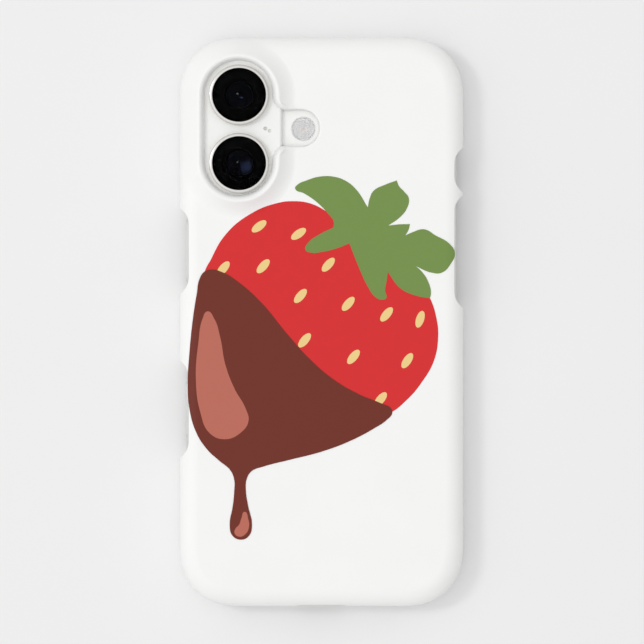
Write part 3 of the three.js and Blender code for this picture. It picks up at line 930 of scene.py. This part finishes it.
def inked_outline(name, knots):
    """A block over a smooth outline drawn through knots, sharp at those that None follows."""
    points = [knot for knot in knots if knot is not None]
    sharp = {knots[i - 1] for i, knot in enumerate(knots) if knot is None}
    curve = bpy.data.curves.new(name, "CURVE")
    curve.dimensions = "2D"
    curve.fill_mode = "BOTH"
    curve.resolution_u = 10
    curve.extrude = (PRINT_HIGH - PRINT_LOW) / 2
    spline = curve.splines.new("BEZIER")
    spline.bezier_points.add(len(points) - 1)
    spline.use_cyclic_u = True
    for knot, (x, y) in zip(spline.bezier_points, points):
        knot.co = (x, y, 0)
        kind = "VECTOR" if (x, y) in sharp else "AUTO"
        knot.handle_left_type = kind
        knot.handle_right_type = kind
    alone(linked(name, curve))
    bpy.ops.object.convert(target="MESH")
    piece = bpy.context.active_object
    choose(piece, "VERT", lambda vertex: True)
    bpy.ops.mesh.remove_doubles(threshold=TINY)
    bpy.ops.mesh.normals_make_consistent(inside=False)
    alone(piece)
    return reshape(piece, Matrix.Translation((0, 0, (PRINT_LOW + PRINT_HIGH) / 2)))


def seed_blocks():
    """One seed's block, copied to every place."""
    first = drum("seed", 0, 0, 1, PRINT_LOW, PRINT_HIGH, 40)
    blocks = []
    for x, y, tilt in SEEDS:
        turn = Matrix.Translation((x, y, 0)) @ Matrix.Rotation(math.radians(tilt), 4, "Z")
        stretch = Matrix.Diagonal((SEED_LENGTH / 2, SEED_WIDTH / 2, 1, 1))
        blocks.append(reshape(copied(first, "seed"), turn @ stretch))
    bpy.data.objects.remove(first)
    return joined("printed_seeds", blocks)


def printed(block_piece, form, proud, ink, thin, full):
    """Leaves of a block only the film of ink that stands proud of the case's back."""
    carve(block_piece, copied(form, "ink top", (0, 0, proud)), how="INTERSECT")
    carve(block_piece, copied(form, "ink bottom"))
    return finish(block_piece, cured_ink(ink, thin, full))


def case_print(form):
    """Fields of flat colour: the fruit, its seeds, the leaves, the coating and its shine."""
    fruit = inked_outline("printed_fruit", FRUIT)
    printed(fruit, form, 0.06, "ink_red", "d92c2e", "d52a2c")
    printed(seed_blocks(), form, 0.10, "ink_straw", "efd08d", "edce89")
    leaves = inked_outline("printed_leaves", LEAVES)
    printed(leaves, form, 0.10, "ink_green", "76914c", "738f4a")
    coating = inked_outline("printed_coating", COATING)
    printed(coating, form, 0.14, "ink_brown", "712e21", "6d2c1f")
    shine = joined("printed_shine", [
        inked_outline("printed_shine", SHINE), inked_outline("drip shine", DRIP_SHINE)])
    printed(shine, form, 0.18, "ink_rose", "bd6c5b", "b96a59")


# ---------------------------------------------------------------- the handset


def key_space(key, margin, inner):
    """A key's pill, grown by a margin, from inside the frame out to its face or past it."""
    low, high = cad(key)
    side = 1 if high.x > 0 else -1
    face = high.x if side > 0 else -low.x
    height = high.z - low.z
    straight = high.y - low.y - height
    centre = ((low.y + high.y) / 2, (low.z + high.z) / 2)
    piece = stadium(key, centre, height / 2 + margin, straight, inner, face, 48, True)
    on_side(piece)
    if side < 0:
        reshape(piece, Matrix.Scale(-1, 4, (1, 0, 0)))
        piece.data.flip_normals()
    return piece


def handset_frame():
    """The metal frame: rounded along its edges, seated for the glass, pocketed for the keys."""
    piece = handset_block("handset_frame", PHONE_LOW.z, PHONE_HIGH.z, 0,
                          top=FRAME_EDGE, bottom=FRAME_EDGE)
    seat = GLASS_HIGH.x - PHONE_HIGH.x + 0.06
    depth = GLASS_HIGH.z - GLASS_LOW.z + 0.05
    back = handset_block("seat", PHONE_HIGH.z - depth, PHONE_HIGH.z + 1, seat)
    front = handset_block("seat", PHONE_LOW.z - 1, PHONE_LOW.z + depth, seat)
    pockets = []
    for key in KEYS:
        pocket = key_space(key, KEY_GAP, PHONE_HIGH.x - KEY_BED)
        side = 1 if cad(key)[1].x > 0 else -1
        pockets.append(pocket)
        pockets.append(reshape(copied(pocket, "pocket"), Matrix.Translation((0.6 * side, 0, 0))))
    well = drum("well", FLASH_X, FLASH_Y, FLASH_RADIUS, EMITTER_LOW.z - 0.05, PHONE_HIGH.z + 1, 96)
    screw_holes = [on_end(drum("hole", x, MIDDLE_Z, SCREW_RADIUS + 0.04, PHONE_HIGH.y - 1.2,
                               PHONE_HIGH.y + 1, 40)) for x in SCREWS]
    socket = socket_oval("socket", 0, PORT_BACK, PHONE_HIGH.y + 1)
    carve(piece, back, front, well, *pockets, *sound_drills(), socket, *screw_holes)
    finish(piece, anodised_aluminium(), replaces=["phone_frame"])


def sound_places():
    for side in (-1, 1):
        for index in range(SOUND_HOLES):
            yield side * SOUND_X + (index - (SOUND_HOLES - 1) / 2) * SOUND_PITCH


def sound_drills():
    face = PHONE_HIGH.y
    return [
        on_end(drum("drill", x, MIDDLE_Z, SOUND_RADIUS, face - SOUND_DEPTH, face + 1, 32))
        for x in sound_places()]


def socket_oval(name, inset, low, high):
    """An oval as large as the socket less an inset, between two distances along the handset."""
    return on_end(stadium(
        name, (0, MIDDLE_Z), PORT_HEIGHT / 2 - inset, PORT_WIDTH - PORT_HEIGHT, low, high, 48, True))


def socket_liner():
    """The socket's steel liner, a cup with a softened mouth."""
    face = PHONE_HIGH.y
    liner = socket_oval("socket_liner", 0.02, PORT_BACK + 0.05, face - 0.07)
    carve(liner, socket_oval("bore", 0.27, PORT_BACK + 0.3, face + 0.18))

    def at_mouth(edge):
        return middle(edge).y < -face + 0.08 and edge.calc_face_angle(0) > 1

    rounded_edges(liner, at_mouth, 0.08, 3)
    finish(liner, polished_steel())


def socket_tongue():
    """The tongue in the socket, with a row of contacts on each of its two faces."""
    tip = -TONGUE_TIP
    tongue = block("socket_tongue", (-TONGUE_REACH, tip, MIDDLE_Z - TONGUE_HALF),
                   (TONGUE_REACH, -PORT_BACK - 0.3, MIDDLE_Z + TONGUE_HALF))
    rounded_edges(tongue, lambda edge: middle(edge).y < tip + TINY, 0.18, 3)
    finish(tongue, socket_plastic())
    contacts = []
    for side in (-1, 1):
        low = MIDDLE_Z + side * TONGUE_HALF - CONTACT_THICKNESS / 2
        for index in range(CONTACTS):
            x = (index - (CONTACTS - 1) / 2) * CONTACT_PITCH - CONTACT_WIDTH / 2
            contacts.append(block("contact", (x, tip + CONTACT_START, low),
                                  (x + CONTACT_WIDTH, tip + CONTACT_END, low + CONTACT_THICKNESS)))
    finish(joined("socket_contacts", contacts), gold_plating())


def end_screws():
    """A screw on each side of the socket, with a six-sided recess."""
    face = PHONE_HIGH.y
    for name, x in zip(("screw_left", "screw_right"), SCREWS):
        head = turned(name, 0, 0, [
            (0, face - 1.1), (SCREW_RADIUS, face - 1.1), (SCREW_RADIUS, face - 0.1),
            (SCREW_RADIUS - 0.08, face - 0.03), (0, face - 0.02)], steps=40)
        carve(head, drum("recess", 0, 0, 0.36, face - 0.4, face + 1, 6))
        reshape(head, Matrix.Translation((x, MIDDLE_Z, 0)))
        finish(on_end(head), polished_steel())


def sound_gauze():
    """A disc of gauze deep in each sound hole."""
    deep = PHONE_HIGH.y - SOUND_DEPTH
    gauzes = [on_end(drum("gauze", x, MIDDLE_Z, SOUND_RADIUS - 0.02, deep + 0.02, deep + 0.3, 32))
              for x in sound_places()]
    finish(joined("sound_gauze", gauzes), gauze_cloth())


def back_glass(glass):
    """The back glass with the camera plateau drawn out of it in one piece."""
    low, high = GLASS_LOW.z, PHONE_HIGH.z
    piece = handset_block("back_glass_and_plateau", low, high, GLASS_HIGH.x - PHONE_HIGH.x,
                          top=GLASS_EDGE)
    plateau = stadium("plateau", PLATEAU_CENTRE, PLATEAU_RADIUS, PLATEAU_STRAIGHT,
                      low + 0.1, PLATEAU_HIGH.z, 128)
    rounded_edges(plateau, at_level(PLATEAU_HIGH.z), PLATEAU_EDGE, 8)
    carve(piece, plateau, how="UNION")

    def at_plateau_foot(edge):
        across = abs(middle(edge).x - PLATEAU_CENTRE.x)
        creased = edge.calc_face_angle(0) > math.radians(70)
        return creased and at_level(high)(edge) and across < PLATEAU_RADIUS + NEAR

    rounded_edges(piece, at_plateau_foot, PLATEAU_FOOT, 6)
    tools = []
    for position in LENSES:
        x, y, radius, _, _ = round_cad("lens_barrel_" + position)
        tools.append(drum("bore", x, y, radius - 0.02, PLATEAU_HIGH.z - 0.5, PLATEAU_HIGH.z + 1, 128))
    tools.append(drum("bore", FLASH_X, FLASH_Y, FLASH_RADIUS + 0.2, low - 1, high + 1, 96))
    for x, y, radius, depth in MICROPHONES:
        tools.append(drum("bore", x, y, radius, PLATEAU_HIGH.z - depth, PLATEAU_HIGH.z + 1, 32))
    carve(piece, *tools)
    finish(piece, glass, replaces=["back_glass", "camera_plateau"])


def screen():
    """The display glass, its edge softened, with a sound slit and a pill for the front camera."""
    low, high = SCREEN_LOW.z, SCREEN_HIGH.z
    piece = handset_block("display", low, high, SCREEN_HIGH.x - PHONE_HIGH.x, bottom=SCREEN_EDGE)
    slit = stadium("slit", (0, SLIT_Y), SLIT_RADIUS, SLIT_STRAIGHT, low - 1, low + 0.3, 24, True)
    hole = stadium("hole", (0, PILL_Y), PILL_RADIUS, PILL_STRAIGHT, low - 1, low + 0.12, 64, True)
    carve(piece, slit, hole)
    finish(piece, display_glass(), replaces=["screen_glass"])
    pill = stadium("front_camera_pill", (0, PILL_Y), PILL_RADIUS - 0.03, PILL_STRAIGHT,
                   low + 0.03, low + 0.14, 64, True)
    for x, radius in FRONT_WELLS:
        carve(pill, drum("well", x, PILL_Y, radius, low - 1, low + 0.09, 48))
    finish(pill, lens_black())


def lens(position, steel, black, clear_glass, inner_element, painted_reflection):
    """One camera: a steel ring, the black mask and baffle in it, the lens, and its cover."""
    x, y, radius, _, top = round_cad("lens_barrel_" + position)
    foot = PLATEAU_HIGH.z - LENS_SEAT
    inner = radius - LENS_RING_WIDTH
    ring = turned("lens_ring_" + position, x, y, [
        (inner, foot), (radius, foot), (radius, top - 0.3), (radius - 0.03, top - 0.2),
        (radius - 0.1, top - 0.13), (radius - 0.24, top - 0.065), (radius - 0.38, top - 0.018),
        (radius - 0.5, top), (inner + 0.03, top), (inner, top - 0.04),
    ], steps=128, closed=True)
    finish(ring, steel, replaces=["lens_barrel_" + position])
    under = top - LENS_STACK
    glass_radius = inner - 0.02
    mask = turned("lens_mask_" + position, x, y, [
        (0, foot), (glass_radius, foot), (glass_radius, under), (4.6, under), (4.3, under - 0.12),
        (4.3, under - 0.3), (3.9, under - 0.36), (3.8, under - 0.5), (3.6, under - 0.9),
        (0, under - 0.9),
    ])
    finish(mask, black)
    eye = turned("lens_element_" + position, x, y, [
        (0, under - 0.95), (LENS_EYE + 0.08, under - 0.95), (LENS_EYE + 0.08, under - 0.6),
        *dome(LENS_EYE, 0.2, under - 0.56, 10), (0, under - 0.36),
    ])
    # the lens's colour holds a painted reflection, a navy spot
    finish(eye, coated_element_with_painted_reflection((x + painted_reflection[0], y + painted_reflection[1]), painted_reflection[2]))
    pupil = turned("lens_pupil_" + position, x - 0.4, y + 0.3, [
        (0, under - 0.42), *dome(0.3, 0.1, under - 0.4, 5), (0, under - 0.3)], steps=32)
    finish(pupil, inner_element)
    cover = turned("lens_window_" + position, x, y, [
        (0, under + 0.02), (glass_radius, under + 0.02), (glass_radius, top - 0.24),
        (glass_radius - 0.1, top - 0.14), (0, top - 0.14),
    ])
    finish(cover, clear_glass, replaces=["lens_cover_" + position])


def dome(radius, rise, foot, steps):
    """A profile over a shallow dome, from its edge to near its middle."""
    return [(radius * math.cos(math.pi / 2 * i / steps), foot + rise * math.sin(math.pi / 2 * i / steps))
            for i in range(steps)]


def flash():
    """The flash: a ringed clear lens over a white cup, with a small light source in it."""
    radius, low, top = FLASH_RADIUS, FLASH_FOOT, FLASH_TOP
    rim, eye, count = radius - 0.4, 0.8, 4  # the ridges lie between these two radii
    ridges = []
    for i in range(count):
        outer = rim - (rim - eye) * i / count
        inner = rim - (rim - eye) * (i + 1) / count
        ridges += [(outer, top - 0.2), (inner + 0.03, top - 0.06)]
    lens_piece = turned("flash_window", FLASH_X, FLASH_Y, [
        (0, low), (radius, low), (radius, top - 0.08), (radius - 0.1, top), (rim + 0.06, top),
        *ridges, (eye, top - 0.18), (0.5, top - 0.1), (0, top - 0.07),
    ])
    finish(lens_piece, flash_plastic(), replaces=["flash_lens"], angle=25)
    bezel = turned("flash_bezel", FLASH_X, FLASH_Y, [
        (radius + 0.02, low), (radius + 0.18, low), (radius + 0.18, top - 0.01),
        (radius + 0.12, top + 0.02), (radius + 0.06, top + 0.01), (radius + 0.02, top - 0.04),
    ], closed=True)
    finish(bezel, matt_glass("flash bezel"))
    floor, spot, spot_top = EMITTER_LOW.z, 0.5, EMITTER_HIGH.z
    terraces, steps, tread = [], 4, 0.55
    for i in range(steps):
        edge = radius - 0.3 - i * tread
        level = low - 0.03 - i * (low - 0.13 - spot_top) / steps
        terraces += [(edge, level), (edge - 0.08, level - 0.12), (edge - 0.3, level - 0.14)]
    cup = turned("flash_cup", FLASH_X, FLASH_Y, [
        (spot + 0.02, floor), (radius - 0.05, floor), (radius - 0.05, low - 0.03), *terraces,
        (spot + 0.1, spot_top + 0.03), (spot + 0.02, spot_top + 0.03),
    ], closed=True)
    finish(cup, reflector())
    source = turned("flash_source", FLASH_X, FLASH_Y, [
        (0, floor), (spot, floor), (spot, spot_top - 0.06), (spot - 0.06, spot_top), (0, spot_top)],
        steps=48)
    finish(source, phosphor(), replaces=["flash_emitter"])


def keys(metal):
    """Pills of metal that stand a little proud of the frame, each on its own body."""
    for key in KEYS:
        low, high = cad(key)
        thickness = high.x - low.x
        face = max(high.x, -low.x)
        piece = key_space(key, 0, face - thickness)
        piece.name = key + "_cap"
        rounded_edges(piece, lambda edge: abs(middle(edge).x) > face - TINY, KEY_EDGE, 5)
        finish(piece, metal, body=key, replaces=[key])


# ---------------------------------------------------------------- table, light and camera


def table_top():
    """A table top that runs far out and then curls up a little, so that it ends in no edge."""
    flat, curl, rise, steps = 3500, 2000, 450, 12
    turns = [math.pi / 2 * i / steps for i in range(steps + 1)]
    floor = turned("table_top", 0, 0, [(0, 0), (500, 0)] + [
        (flat + curl * math.sin(turn), rise * (1 - math.cos(turn))) for turn in turns])
    if floor.data.polygons[0].normal.z < 0:
        floor.data.flip_normals()
    bpy.ops.object.shade_smooth_by_angle(angle=math.radians(35))
    reshape(floor, Matrix.Scale(MM, 4))
    floor.data.materials.append(painted_board())


def softbox(name, place, size, power):
    """A square white softbox that faces the object."""
    light = bpy.data.lights.new(name, "AREA")
    light.size = size
    light.energy = power
    lamp = linked(name, light)
    lamp.location = place
    lamp.rotation_euler = (-Vector(place)).to_track_quat("-Z", "Y").to_euler()


def studio():
    """A white room, brightest overhead and dimmer to the right, with a key light from the left."""
    world = bpy.data.worlds.new("studio")
    bpy.context.scene.world = world
    world.use_nodes = True
    tree = world.node_tree
    place = add(tree, "ShaderNodeTexCoord").outputs["Generated"]
    apart = add(tree, "ShaderNodeSeparateXYZ", links={0: place}).outputs
    rise = add(tree, "ShaderNodeMapRange", {"To Min": 0.3, "To Max": 1.155}, {"Value": apart["Z"]})
    lean = add(tree, "ShaderNodeMapRange", {"From Min": -1, "To Min": 1.25, "To Max": 0.75},
               {"Value": apart["X"]})
    both = add(tree, "ShaderNodeMath", links={0: rise.outputs["Result"], 1: lean.outputs["Result"]},
               operation="MULTIPLY")
    walls = tree.nodes["Background"]
    walls.inputs["Color"].default_value = (1, 1, 1, 1)
    tree.links.new(both.outputs[0], walls.inputs["Strength"])
    softbox("key", (-1.1, 0.35, 1.6), 0.4, 5.5)


def camera():
    """Straight above the case, far back, with the sides of the picture 171.7 mm apart."""
    picture_width, distance, sensor = 171.7 * MM, 1.5, 36.0
    level = CASE_HIGH.z / 2 * MM
    lens_data = bpy.data.cameras.new("camera")
    lens_data.sensor_width = sensor
    lens_data.lens = sensor * distance / picture_width
    lens_data.clip_start = 0.05
    view = linked("camera", lens_data)
    view.location = (0.13 * MM, -0.03 * MM, distance + level)
    bpy.context.scene.camera = view
    bpy.context.scene.view_settings.view_transform = "Standard"


# ---------------------------------------------------------------- the whole

camera()
studio()
table_top()

outer_form = case_form("outer_form")
case(outer_form)
case_print(outer_form)
bpy.data.objects.remove(outer_form)

handset_frame()
socket_liner()
socket_tongue()
end_screws()
sound_gauze()
back_glass(matt_glass())
screen()
ring_steel, mask_black = polished_steel(), lens_black()
window_glass, pupil_glass = cover_glass(), bare_element()
# each lens gets its own spot of painted reflection
for lens_position, painted_navy_reflection in zip(LENSES, LENS_PAINTED_REFLECTIONS):
    lens(lens_position, ring_steel, mask_black, window_glass, pupil_glass, painted_navy_reflection)
flash()
keys(anodised_aluminium())
